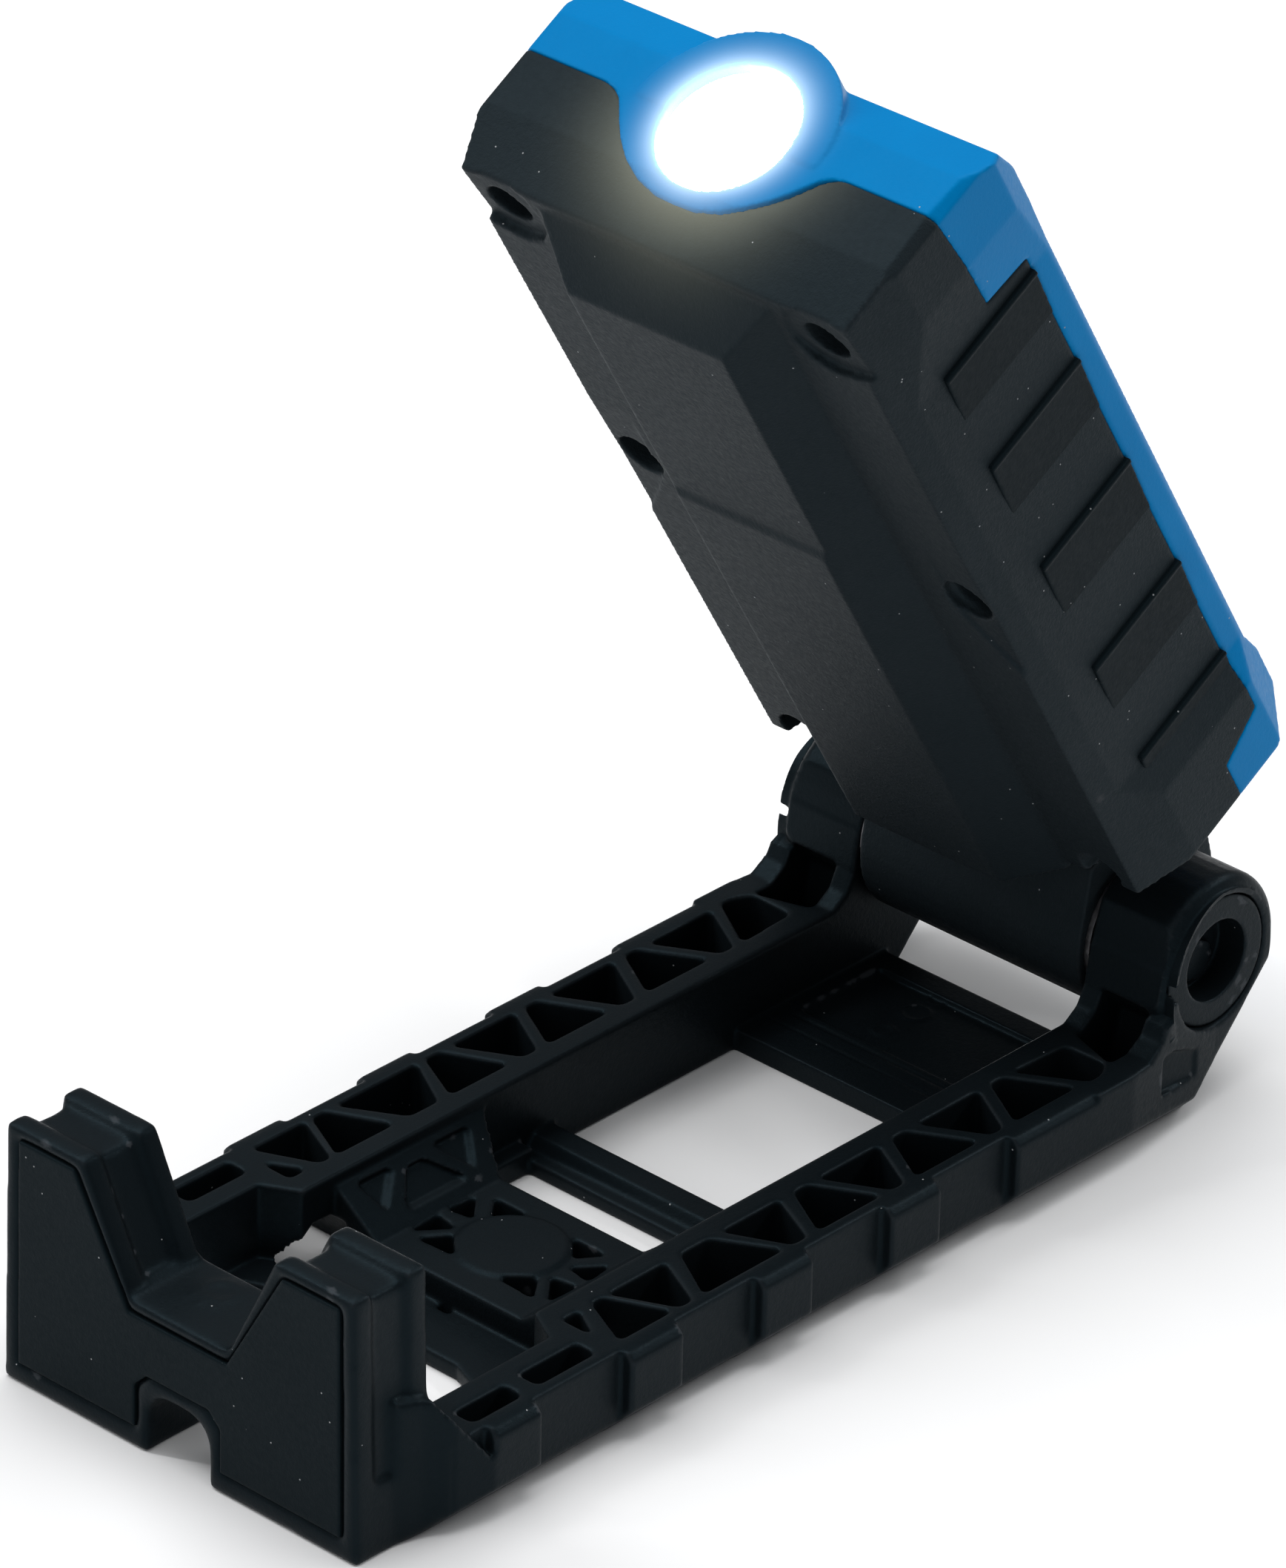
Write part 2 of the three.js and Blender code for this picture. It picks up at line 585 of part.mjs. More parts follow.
function gripRecess(side) {
  const outline = [[GRIP.back - 0.1, GRIP.start - 0.1], [GRIP.front + 0.1, GRIP.start - 0.1],
    [GRIP.front + 0.1, GRIP.end + 0.1], [GRIP.back - 0.1, GRIP.end + 0.1]];
  return prismX(outline, side > 0 ? GRIP.inner - 0.1 : -40, side > 0 ? 40 : -GRIP.inner + 0.1);
}

function rearShell() {
  const outer = headOuter();
  const posts = allScrews(screwPost).map((post) => post.intersect(outer));
  const shell = outer.subtract(headCavity()).add(addAll(posts)).add(portWall());
  const rear = shell.subtract(frontRegion(-PARTING_GAP / 2)).subtract(spotRegion(PARTING_GAP / 2));
  const cuts = [...allScrews(screwHole), gripRecess(-1), gripRecess(1), portSeat(), portMouth()];
  return cutAll(rear, cuts);
}

function frontShell() {
  const shell = headOuter().subtract(headCavity());
  const lip = headOuter().intersect(spotRegion(-PARTING_GAP / 2)).subtract(headCavity());
  const front = shell.intersect(frontRegion(PARTING_GAP / 2)).add(lip);
  const window = box(-WINDOW.half - 0.1, WINDOW.half + 0.1, 24.6, 40, WINDOW.start - 0.1, WINDOW.end + 0.1);
  const light = box(-WINDOW.half + 1.5, WINDOW.half - 1.5, 20, 40, WINDOW.start + 1.4, WINDOW.end - 1.4);
  const lensBore = prismZ(circle(0, SPOT.depth, SPOT.lens + 0.1, 40), 110, 140);
  const button = prismY(buttonOutline(0.15), 20, 40);
  const pipe = prismY(circle(PIPE.x, PIPE.along, PIPE.radius + 0.15, 16), 20, 40);
  return cutAll(front, [window, light, lensBore, button, pipe]);
}

function sideGrip(side) {
  const base = [[GRIP.back, GRIP.start], [GRIP.front, GRIP.start], [GRIP.front, GRIP.end], [GRIP.back, GRIP.end]];
  const x = (value) => value * side;
  const span = (points, a, b) => prismX(points, Math.min(x(a), x(b)), Math.max(x(a), x(b)));
  const pieces = [span(base, GRIP.inner, GRIP.base)];
  GRIP_EDGES.forEach((edge, index) => {
    const next = index + 1 < GRIP_EDGES.length ? GRIP_EDGES[index + 1] + 0.3 : GRIP.start;
    const wedge = prismZ(flipX([[GRIP.inner + 0.2, GRIP.back], [GRIP.base + 0.7, GRIP.back],
      [GRIP.base + 0.7, GRIP.front], [GRIP.inner + 0.2, GRIP.front]], side), next, edge);
    const slope = prismY(flipX([[GRIP.inner, edge], [GRIP.base + 0.7, edge],
      [GRIP.base, next], [GRIP.inner, next]], side), 0, 30);
    pieces.push(wedge.intersect(slope));
  });
  const body = addAll(pieces);
  return side < 0 ? body.subtract(portSeat()) : body;
}

// ---- charging port on the left side ----
function portOutline(inset) {
  return rounded([
    [PORT.back + inset, PORT.start + inset], [PORT.front - inset, PORT.start + inset],
    [PORT.front - inset, PORT.end - inset], [PORT.back + inset, PORT.end - inset],
  ], 1.5, 3);
}

function socketOutline(inset) {
  const depth = (PORT.back + PORT.front) / 2;
  const along = (PORT.start + PORT.end) / 2;
  return rounded([
    [depth - 1.6 + inset, along - 4.5 + inset], [depth + 1.6 - inset, along - 4.5 + inset],
    [depth + 1.6 - inset, along + 4.5 - inset], [depth - 1.6 + inset, along + 4.5 - inset],
  ], 1.4, 3);
}

function portSeat() {
  return prismX(portOutline(0), -40, -27);
}

function portWall() {
  return prismX(portOutline(-1.5), -28, -25);
}

function portMouth() {
  return prismX(socketOutline(-0.15), -40, -20);
}

function portCover() {
  return prismX(portOutline(0.2), -29.2, -27.2);
}

function chargeSocket() {
  const shell = prismX(socketOutline(0), -26.6, -19.4);
  const tongue = prismX(socketOutline(1.3), -25.6, -20);
  return shell.subtract(prismX(socketOutline(0.35), -28, -20.4)).add(tongue);
}

// ---- front controls ----
function buttonOutline(grow) {
  return rounded([
    [-BUTTON.half - grow, BUTTON.start - grow], [BUTTON.half + grow, BUTTON.start - grow],
    [BUTTON.half + grow, BUTTON.end + grow], [-BUTTON.half - grow, BUTTON.end + grow],
  ], 3.5, 4);
}

function powerButton() {
  const cap = prismY(buttonOutline(0), 24.0, 28.3);
  return cap.add(prismY(buttonOutline(1.2), 24.0, 25.1));
}

function chargeLight() {
  return prismY(circle(PIPE.x, PIPE.along, PIPE.radius, 16), 23, 27.8);
}

function cobWindow() {
  return box(-WINDOW.half, WINDOW.half, 24.7, 27.2, WINDOW.start, WINDOW.end);
}

function cobBoard() {
  const board = box(-WINDOW.half + 2, WINDOW.half - 2, 21.4, 22.6, WINDOW.start + 2, WINDOW.end - 2);
  const panel = prismY(rounded([[-15, 50], [15, 50], [15, 103], [-15, 103]], 2, 2), 22.6, 23.4);
  return board.add(panel);
}

function spotReflector() {
  const cup = new THREE.LatheGeometry([
    [2.6, 110.5], [6.9, 112.0], [8.0, 118.5], [8.0, 122.4], [7.6, 122.4], [7.4, 118.5], [6.0, 113.2], [2.6, 111.4], [2.6, 110.5],
  ].map(([r, z]) => new THREE.Vector2(r, z)), 32);
  cup.rotateX(Math.PI / 2);
  cup.translate(0, SPOT.depth, 0);
  return solidOf(cup);
}

function spotLens() {
  const dome = new THREE.LatheGeometry([
    [0, 122.6], [8.3, 122.6], [8.3, 125.6], [6, 126.4], [3, 126.9], [0, 127.0],
  ].map(([r, z]) => new THREE.Vector2(r, z)), 36);
  dome.rotateX(Math.PI / 2);
  dome.translate(0, SPOT.depth, 0);
  return solidOf(dome);
}

function spotBoard() {
  const board = prismZ(circle(0, SPOT.depth, 8, 28), 108.6, 109.8);
  return board.add(prismZ(circle(0, SPOT.depth, 1.9, 16), 109.8, 111.2));
}

function batteryCell() {
  const can = prismZ(circle(0, 9.4, 9.1, 32), 36, 101);
  return can.add(prismZ(circle(0, 9.4, 3, 20), 101, 102.2));
}

function mainBoard() {
  return box(-17.5, 17.5, 19.6, 20.8, 24, 104);
}

function shellScrew(x, along) {
  const head = prismY(circle(x, along, 2.5, 20), 4.2, 6.35);
  const shank = prismY(circle(x, along, 1.3, 16), 6.3, 18);
  const drive = addAll([0, 90].map((turn) => {
    const bar = turn ? [[x - 0.35, along - 1.4], [x + 0.35, along - 1.4], [x + 0.35, along + 1.4], [x - 0.35, along + 1.4]]
      : [[x - 1.4, along - 0.35], [x + 1.4, along - 0.35], [x + 1.4, along + 0.35], [x - 1.4, along + 0.35]];
    return prismY(bar, 3, 5.2);
  }));
  return head.add(shank).subtract(drive);
}

function hingeBarrel() {
  const outline = [
    ...arc(0, 0, BARREL_RADIUS, 140, 290, 16), [8.5, -10.2], [12.4, -6.6], [14, -1], [14.2, 4.5], [14.0, 11.6], [-2.0, 13.6],
  ].map(([depth, along]) => [depth + HINGE_DEPTH, along]);
  const body = prismX(outline, -BARREL_HALF, BARREL_HALF);
  const bore = prismX(circle(HINGE_DEPTH, 0, PLUG_SHAFT + 0.05, 40), -40, 40);
  const slot = prismX([[9, -4], [40, -4], [40, -3.6], [9, -3.6]], -1, 1);
  return body.subtract(bore).subtract(slot);
}

// ---- building the tree ----
function meshOf(name, solid, slot, matrix) {
  const data = solid.getMesh();
  const geometry = new THREE.BufferGeometry();
  geometry.setAttribute("position", new THREE.BufferAttribute(new Float32Array(data.vertProperties), 3));
  geometry.setIndex(new THREE.BufferAttribute(new Uint32Array(data.triVerts), 1));
  geometry.applyMatrix4(matrix);
  geometry.computeVertexNormals();
  const mesh = new THREE.Mesh(geometry, material(slot));
  mesh.name = name;
  return mesh;
}

const standPlace = new THREE.Matrix4().makeTranslation(0, -LENGTH_CENTRE, 0);
const headPlace = new THREE.Matrix4().makeTranslation(0, HINGE_Y - LENGTH_CENTRE, HINGE_Z)
  .multiply(new THREE.Matrix4().makeRotationX(THREE.MathUtils.degToRad(HEAD_LEAN)))
  .multiply(new THREE.Matrix4().makeTranslation(0, -HINGE_DEPTH, 0));

const lamp = new THREE.Group();
lamp.name = "folding_work_light";

function addStandPart(name, solid, slot) {
  lamp.add(meshOf(name, solid, slot, standPlace));
}

function addHeadPart(name, solid, slot) {
  lamp.add(meshOf(name, solid, slot, headPlace));
}

addStandPart("stand_frame", standFrame(), "stand_plastic");
addStandPart("foot_pad", footPad(), "soft_rubber");
addStandPart("foot_magnet_left", footMagnet(-1), "magnet");
addStandPart("foot_magnet_right", footMagnet(1), "magnet");
addStandPart("base_magnet", baseMagnet(), "magnet");
addStandPart("base_magnet_cover", baseMagnetCover(), "stand_plastic");
addStandPart("hinge_plug_left", hingePlug(-1), "stand_plastic");
addStandPart("hinge_plug_right", hingePlug(1), "stand_plastic");
addStandPart("hinge_bolt", hingeBolt(), "steel");
addStandPart("hinge_nut", hingeNut(), "steel");
addStandPart("friction_washer_left", frictionWasher(-1), "steel");
addStandPart("friction_washer_right", frictionWasher(1), "steel");

addHeadPart("hinge_barrel", hingeBarrel(), "shell_black");
addHeadPart("rear_shell", rearShell(), "shell_black");
addHeadPart("front_shell", frontShell(), "shell_blue");
addHeadPart("side_grip_left", sideGrip(-1), "soft_rubber");
addHeadPart("side_grip_right", sideGrip(1), "soft_rubber");
addHeadPart("cob_window", cobWindow(), "diffuser");
addHeadPart("cob_board", cobBoard(), "circuit_board");
addHeadPart("spot_lens", spotLens(), "clear_lens");
addHeadPart("spot_reflector", spotReflector(), "reflector");
addHeadPart("spot_board", spotBoard(), "circuit_board");
addHeadPart("battery_cell", batteryCell(), "cell_wrap");
addHeadPart("main_board", mainBoard(), "circuit_board");
addHeadPart("charge_socket", chargeSocket(), "steel");
addHeadPart("port_cover", portCover(), "soft_rubber");
addHeadPart("power_button", powerButton(), "soft_rubber");
addHeadPart("charge_light", chargeLight(), "diffuser");
allScrews(shellScrew).forEach((screw, index) => {
  addHeadPart(`shell_screw_${index + 1}`, screw, "steel");
});

export default lamp;
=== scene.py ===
"""Looks of a folding work light: a lamp head with a blue front, hinged on a black magnetic stand.

Lengths below are millimetres. Stand parts are drawn with y measured from the foot's front face.
Head parts are drawn upright about the hinge: x across, depth in front of the rear ledge, along upwards.
"""
import math

import bmesh
import bpy
from mathutils import Matrix, Vector


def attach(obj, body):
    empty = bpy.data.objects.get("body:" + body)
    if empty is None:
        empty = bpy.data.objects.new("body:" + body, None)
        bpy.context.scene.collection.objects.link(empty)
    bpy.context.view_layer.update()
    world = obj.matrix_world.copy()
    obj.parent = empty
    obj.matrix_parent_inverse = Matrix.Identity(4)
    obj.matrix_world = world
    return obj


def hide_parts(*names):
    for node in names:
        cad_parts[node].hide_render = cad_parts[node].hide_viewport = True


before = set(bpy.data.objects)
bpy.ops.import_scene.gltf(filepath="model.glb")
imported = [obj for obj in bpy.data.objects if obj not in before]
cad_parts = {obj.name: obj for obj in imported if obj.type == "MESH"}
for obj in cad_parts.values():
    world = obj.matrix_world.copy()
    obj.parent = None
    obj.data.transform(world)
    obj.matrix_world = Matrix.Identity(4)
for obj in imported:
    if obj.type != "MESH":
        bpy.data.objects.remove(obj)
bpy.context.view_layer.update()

MM = 0.001
STAND_CENTRE = 75.5
HINGE_Y = 139.0
HINGE_Z = 18.9
HINGE_DEPTH = 4.64
HEAD_LEAN = math.radians(31.07)

STAND = Matrix.Scale(MM, 4) @ Matrix.Translation((0, -STAND_CENTRE, 0))
HEAD = (
    Matrix.Scale(MM, 4)
    @ Matrix.Translation((0, HINGE_Y - STAND_CENTRE, HINGE_Z))
    @ Matrix.Rotation(HEAD_LEAN, 4, "X")
    @ Matrix.Translation((0, -HINGE_DEPTH, 0))
)

SPOT_DEPTH = 15.8
SPOT_END = 127.0
LENS_RADIUS = 8.3
SIDES = (-1, 1)
CLEAR = 40


# ---- materials ----
PATTERN_LOW = 0.25
PATTERN_HIGH = 0.7
SPECK_COLOUR = (0.3, 0.31, 0.32)
SPECK_CELLS = 1600
SPECK_RADIUS = 0.16
# Pointiness range over which a painted highlight lightens outer edges.
EDGE_HIGHLIGHT_FROM = 0.52
EDGE_HIGHLIGHT_FULL = 0.62
CLOUD_CELLS = 60
GLOSS_CELLS = 1500
GLOSS_CHANGE = 0.06
COOL_SHEEN = (0.45, 0.8, 1.0, 1.0)
BLUE_SHEEN = (0.1, 0.6, 1.0, 1.0)
WINDOW_CREAM = (0.8, 0.79, 0.72)
WINDOW_SHADE = (0.76, 0.75, 0.67)
LAMP_WHITE = (0.93, 0.97, 1.0)
LAMP_BRIGHTNESS = 30.0
STAND_GRAIN = [(1800, 0.00003), (5200, 0.00002)]
SHELL_GRAIN = [(2600, 0.00006), (6500, 0.00004)]
BLUE_GRAIN = [(1800, 0.00002), (5200, 0.00001)]


def shader(name, colour, roughness, **inputs):
    """A new material, its node tree's nodes and links, and its shader with constant sockets set."""
    material = bpy.data.materials.new(name)
    material.use_nodes = True
    nodes = material.node_tree.nodes
    surface = nodes["Principled BSDF"]
    surface.inputs["Base Color"].default_value = (*colour, 1)
    surface.inputs["Roughness"].default_value = roughness
    for socket, value in inputs.items():
        surface.inputs[socket.replace("_", " ")].default_value = value
    return material, nodes, material.node_tree.links, surface


def noise(nodes, links, scale, detail=3.0):
    """Noise that follows the object's own coordinates, in cells per metre."""
    place = nodes.new("ShaderNodeTexCoord")
    texture = nodes.new("ShaderNodeTexNoise")
    texture.inputs["Scale"].default_value = scale
    texture.inputs["Detail"].default_value = detail
    links.new(place.outputs["Object"], texture.inputs["Vector"])
    return texture.outputs["Fac"]


def spread(nodes, links, value, low, high):
    """Turns a 0 to 1 pattern into a range of numbers, stretched round its middle."""
    ranged = nodes.new("ShaderNodeMapRange")
    ranged.inputs["From Min"].default_value = PATTERN_LOW
    ranged.inputs["From Max"].default_value = PATTERN_HIGH
    ranged.inputs["To Min"].default_value = low
    ranged.inputs["To Max"].default_value = high
    links.new(value, ranged.inputs["Value"])
    return ranged.outputs["Result"]


def tint(nodes, links, factor, first, second):
    """A colour that goes from first to second with factor."""
    mix = nodes.new("ShaderNodeMix")
    mix.data_type = "RGBA"
    mix.inputs["A"].default_value = (*first, 1)
    mix.inputs["B"].default_value = (*second, 1)
    links.new(factor, mix.inputs["Factor"])
    return mix.outputs["Result"]


def add_grain(nodes, links, surface, layers):
    """Bump from noise layers of (cells per metre, height in metres)."""
    normal = None
    for scale, height in layers:
        bump = nodes.new("ShaderNodeBump")
        bump.inputs["Distance"].default_value = height
        bump.inputs["Strength"].default_value = 1.0
        links.new(noise(nodes, links, scale), bump.inputs["Height"])
        if normal:
            links.new(normal, bump.inputs["Normal"])
        normal = bump.outputs["Normal"]
    links.new(normal, surface.inputs["Normal"])


def dust(nodes, links, share):
    """1 on sparse tiny specks, 0 elsewhere."""
    place = nodes.new("ShaderNodeTexCoord")
    cell = nodes.new("ShaderNodeTexVoronoi")
    cell.inputs["Scale"].default_value = SPECK_CELLS
    links.new(place.outputs["Object"], cell.inputs["Vector"])
    near = nodes.new("ShaderNodeMath")
    near.operation = "LESS_THAN"
    near.inputs[1].default_value = SPECK_RADIUS
    links.new(cell.outputs["Distance"], near.inputs[0])
    rare = nodes.new("ShaderNodeMath")
    rare.operation = "LESS_THAN"
    rare.inputs[1].default_value = share
    split = nodes.new("ShaderNodeSeparateColor")
    links.new(cell.outputs["Color"], split.inputs["Color"])
    links.new(split.outputs["Red"], rare.inputs[0])
    both = nodes.new("ShaderNodeMath")
    both.operation = "MULTIPLY"
    links.new(near.outputs[0], both.inputs[0])
    links.new(rare.outputs[0], both.inputs[1])
    return both.outputs[0]


def add_painted_glow(nodes, links, surface, colour, strength, reach, sharpness):
    """Painted light: emission painted on the plastic round the lit spot, standing in for the light the spot
    throws there, fading with distance.
    """
    place = nodes.new("ShaderNodeTexCoord")
    far = nodes.new("ShaderNodeVectorMath")
    far.operation = "DISTANCE"
    far.inputs[1].default_value = HEAD @ Vector((0, SPOT_DEPTH, SPOT_END))
    links.new(place.outputs["Object"], far.inputs[0])
    fade = nodes.new("ShaderNodeMapRange")
    fade.inputs["From Min"].default_value = LENS_RADIUS * MM
    fade.inputs["From Max"].default_value = reach * MM
    fade.inputs["To Min"].default_value = 1.0
    fade.inputs["To Max"].default_value = 0.0
    links.new(far.outputs["Value"], fade.inputs["Value"])
    curve = nodes.new("ShaderNodeMath")
    curve.operation = "POWER"
    curve.inputs[1].default_value = sharpness
    links.new(fade.outputs["Result"], curve.inputs[0])
    level = nodes.new("ShaderNodeMath")
    level.operation = "MULTIPLY"
    level.inputs[1].default_value = strength
    links.new(curve.outputs[0], level.inputs[0])
    links.new(level.outputs[0], surface.inputs["Emission Strength"])
    surface.inputs["Emission Color"].default_value = (*colour, 1)


def edges(nodes, links):
    """1 on outer edges, where a highlight is painted into the colour, 0 on flat and hollow surfaces."""
    shape = nodes.new("ShaderNodeNewGeometry")
    ranged = nodes.new("ShaderNodeMapRange")
    ranged.inputs["From Min"].default_value = EDGE_HIGHLIGHT_FROM
    ranged.inputs["From Max"].default_value = EDGE_HIGHLIGHT_FULL
    links.new(shape.outputs["Pointiness"], ranged.inputs["Value"])
    return ranged.outputs["Result"]


def moulded_plastic(name, dark, light, roughness, grain, specks=0.02, edge_highlight=None, painted_glow=None, **inputs):
    """Moulded plastic: cloudy colour, uneven gloss, spark-eroded grain, painted highlights on outer edges,
    light painted round the lit spot where asked, and a little dust.
    """
    material, nodes, links, surface = shader(name, dark, roughness, **inputs)
    clouds = spread(nodes, links, noise(nodes, links, CLOUD_CELLS, 5), 0, 1)
    plain = tint(nodes, links, clouds, dark, light)
    speckled = nodes.new("ShaderNodeMix")
    speckled.data_type = "RGBA"
    speckled.inputs["B"].default_value = (*SPECK_COLOUR, 1)
    # Painted highlight: outer edges get a lighter base colour.
    if edge_highlight:
        edge_highlighted = nodes.new("ShaderNodeMix")
        edge_highlighted.data_type = "RGBA"
        edge_highlighted.inputs["B"].default_value = (*edge_highlight, 1)
        links.new(plain, edge_highlighted.inputs["A"])
        links.new(edges(nodes, links), edge_highlighted.inputs["Factor"])
        plain = edge_highlighted.outputs["Result"]
    links.new(plain, speckled.inputs["A"])
    # Painted light: emission round the lit spot, fading with distance.
    if painted_glow:
        add_painted_glow(nodes, links, surface, *painted_glow)
    links.new(dust(nodes, links, specks), speckled.inputs["Factor"])
    links.new(speckled.outputs["Result"], surface.inputs["Base Color"])
    fine = noise(nodes, links, GLOSS_CELLS)
    gloss = spread(nodes, links, fine, roughness - GLOSS_CHANGE, roughness + GLOSS_CHANGE)
    links.new(gloss, surface.inputs["Roughness"])
    add_grain(nodes, links, surface, grain)
    return material


def brushed_metal(name, dark, light, roughness):
    """Bare metal with fine uneven gloss."""
    material, nodes, links, surface = shader(name, dark, roughness, Metallic=1.0)
    patches = spread(nodes, links, noise(nodes, links, 800, 4), 0, 1)
    links.new(tint(nodes, links, patches, dark, light), surface.inputs["Base Color"])
    gloss = spread(nodes, links, noise(nodes, links, 3000), roughness - 0.1, roughness + 0.1)
    links.new(gloss, surface.inputs["Roughness"])
    add_grain(nodes, links, surface, [(4000, 0.00001)])
    return material


def lit_lens():
    """The spot's lens, switched on."""
    material, nodes, links, surface = shader("lit_lens", (0.9, 0.95, 1.0), 0.1)
    surface.inputs["Emission Color"].default_value = (*LAMP_WHITE, 1)
    surface.inputs["Emission Strength"].default_value = LAMP_BRIGHTNESS
    add_grain(nodes, links, surface, [(500, 0.00001)])
    return material


def diffuser():
    """Milky plastic window over the flood panel."""
    material, nodes, links, surface = shader("diffuser", WINDOW_CREAM, 0.3, Transmission_Weight=0.35)
    patches = spread(nodes, links, noise(nodes, links, 300), 0, 1)
    links.new(tint(nodes, links, patches, WINDOW_CREAM, WINDOW_SHADE), surface.inputs["Base Color"])
    add_grain(nodes, links, surface, [(2500, 0.00002)])
    return material


def make_materials():
    """Every finish, by the name of its slot; the edge colour is painted as a highlight on outer edges, and
    light painted round the lit spot is given as (colour, strength, reach, sharpness).
    """
    return {
        "stand_plastic": moulded_plastic(
            "stand_plastic", dark=(0.0034, 0.0054, 0.0068), light=(0.005, 0.0071, 0.0086),
            # The edge colour below is a painted highlight on outer edges.
            roughness=0.4, grain=STAND_GRAIN, specks=0.006, edge_highlight=(0.03, 0.033, 0.037),
            Specular_IOR_Level=0.09, Specular_Tint=COOL_SHEEN),
        "shell_black": moulded_plastic(
            "shell_black", dark=(0.0078, 0.0108, 0.0128), light=(0.0102, 0.0133, 0.0155),
            # The edge colour below is a painted highlight on outer edges.
            roughness=0.58, grain=SHELL_GRAIN, specks=0.008, edge_highlight=(0.028, 0.03, 0.033),
            # The emission below is light painted round the lit spot.
            painted_glow=((0.78, 0.8, 0.62), 0.42, 30, 4.5), Specular_IOR_Level=0.14, Specular_Tint=COOL_SHEEN),
        "shell_blue": moulded_plastic(
            "shell_blue", dark=(0.0, 0.155, 0.40), light=(0.0, 0.175, 0.44),
            roughness=0.36, grain=BLUE_GRAIN, specks=0.004,
            # The emission below is light painted round the lit spot.
            painted_glow=((0.8, 0.92, 1.0), 0.95, 20, 8.0), Specular_IOR_Level=0.08, Specular_Tint=BLUE_SHEEN),
        "soft_rubber": moulded_plastic(
            "soft_rubber", dark=(0.0035, 0.0062, 0.0078), light=(0.005, 0.0082, 0.01),
            roughness=0.5, grain=STAND_GRAIN, Specular_IOR_Level=0.06, Specular_Tint=COOL_SHEEN),
        "steel": brushed_metal("steel", (0.09, 0.09, 0.095), (0.2, 0.2, 0.21), 0.4),
        "magnet": brushed_metal("magnet", (0.5, 0.5, 0.52), (0.62, 0.62, 0.64), 0.28),
        "clear_lens": lit_lens(),
        "diffuser": diffuser(),
        "reflector": brushed_metal("reflector", (0.75, 0.76, 0.78), (0.82, 0.83, 0.85), 0.15),
        "circuit_board": moulded_plastic(
            "circuit_board", dark=(0.01, 0.09, 0.03), light=(0.015, 0.12, 0.04),
            roughness=0.45, grain=[(900, 0.00002)]),
        "cell_wrap": moulded_plastic(
            "cell_wrap", dark=(0.02, 0.09, 0.3), light=(0.03, 0.12, 0.36),
            roughness=0.35, grain=[(900, 0.00001)]),
    }


# ---- outlines ----
def circle(across, up, radius, steps=48):
    """The points of a circle."""
    turns = (2 * math.pi * step / steps for step in range(steps))
    return [(across + radius * math.cos(turn), up + radius * math.sin(turn)) for turn in turns]


def mirrored(points, side):
    """An outline drawn for the right side, moved to the given side."""
    return [(across * side, up) for across, up in points]


def symmetric(half):
    """A closed outline from its right half, listed from the centre line round to the centre line."""
    left = [(-across, up) for across, up in reversed(half) if across > 0]
    return list(half) + left


def outward(side, near, far):
    """The x range from near to far on one side, lowest first."""
    return sorted((side * near, side * far))


# ---- solids ----
SAME_POINT = 1e-7
EDGE_SMOOTHING = 0.5


def mesh_object(name, mesh):
    """A new object in the scene."""
    piece = bpy.data.objects.new(name, mesh)
    bpy.context.scene.collection.objects.link(piece)
    return piece


def prism(points, axis, low, high, place):
    """A prism along axis x, y or z; the outline is in the other two directions, in that order."""
    order = {"x": (2, 0, 1), "y": (0, 2, 1), "z": (0, 1, 2)}[axis]
    shape = bmesh.new()
    rings = []
    for level in (low, high):
        ring = []
        for across, up in points:
            spot = (across, up, level)
            ring.append(shape.verts.new(place @ Vector(spot[index] for index in order)))
        rings.append(ring)
    shape.faces.new(rings[0])
    shape.faces.new(reversed(rings[1]))
    count = len(points)
    for index in range(count):
        after = (index + 1) % count
        shape.faces.new((rings[0][index], rings[1][index], rings[1][after], rings[0][after]))
    bmesh.ops.recalc_face_normals(shape, faces=shape.faces)
    mesh = bpy.data.meshes.new("tool")
    shape.to_mesh(mesh)
    shape.free()
    return mesh_object("tool", mesh)


def applied(piece):
    """Turns a piece's modifiers into its mesh."""
    graph = bpy.context.evaluated_depsgraph_get()
    mesh = bpy.data.meshes.new_from_object(piece.evaluated_get(graph))
    piece.modifiers.clear()
    piece.data = mesh
    return piece


def combined(piece, operation, tools):
    """Joins, cuts or intersects a piece with tool solids, which are then thrown away."""
    for tool in tools:
        step = piece.modifiers.new("step", "BOOLEAN")
        step.operation = operation
        step.solver = "MANIFOLD"
        step.object = tool
    applied(piece)
    for tool in tools:
        bpy.data.objects.remove(tool)
    return piece


def from_cad(name, node):
    """A copy of a CAD node's solid, as one closed mesh."""
    shape = bmesh.new()
    shape.from_mesh(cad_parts[node].data)
    bmesh.ops.remove_doubles(shape, verts=shape.verts, dist=SAME_POINT)
    mesh = bpy.data.meshes.new(name)
    shape.to_mesh(mesh)
    shape.free()
    return mesh_object(name, mesh)


def softened(piece, voxel, passes, keep=0.35):
    """Rounds every edge a little, as moulding does, and leaves an even mesh."""
    remesh = piece.modifiers.new("remesh", "REMESH")
    remesh.mode = "VOXEL"
    remesh.voxel_size = voxel * MM
    remesh.use_smooth_shade = True
    smooth = piece.modifiers.new("smooth", "SMOOTH")
    smooth.factor = EDGE_SMOOTHING
    smooth.iterations = passes
    thin = piece.modifiers.new("thin", "DECIMATE")
    thin.ratio = keep
    applied(piece)
    for face in piece.data.polygons:
        face.use_smooth = True
    return piece


MATERIALS = make_materials()


def finish_piece(piece, body, slot, *nodes):
    """Gives a piece its finish and its body, and hides the CAD nodes that it stands for."""
    piece.data.materials.clear()
    piece.data.materials.append(MATERIALS[slot])
    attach(piece, body)
    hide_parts(*nodes)


def dress_cad_nodes():
    """Gives every CAD node the finish of its slot."""
    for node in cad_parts.values():
        for slot in node.material_slots:
            slot.material = MATERIALS[slot.material.name.split(".")[0]]


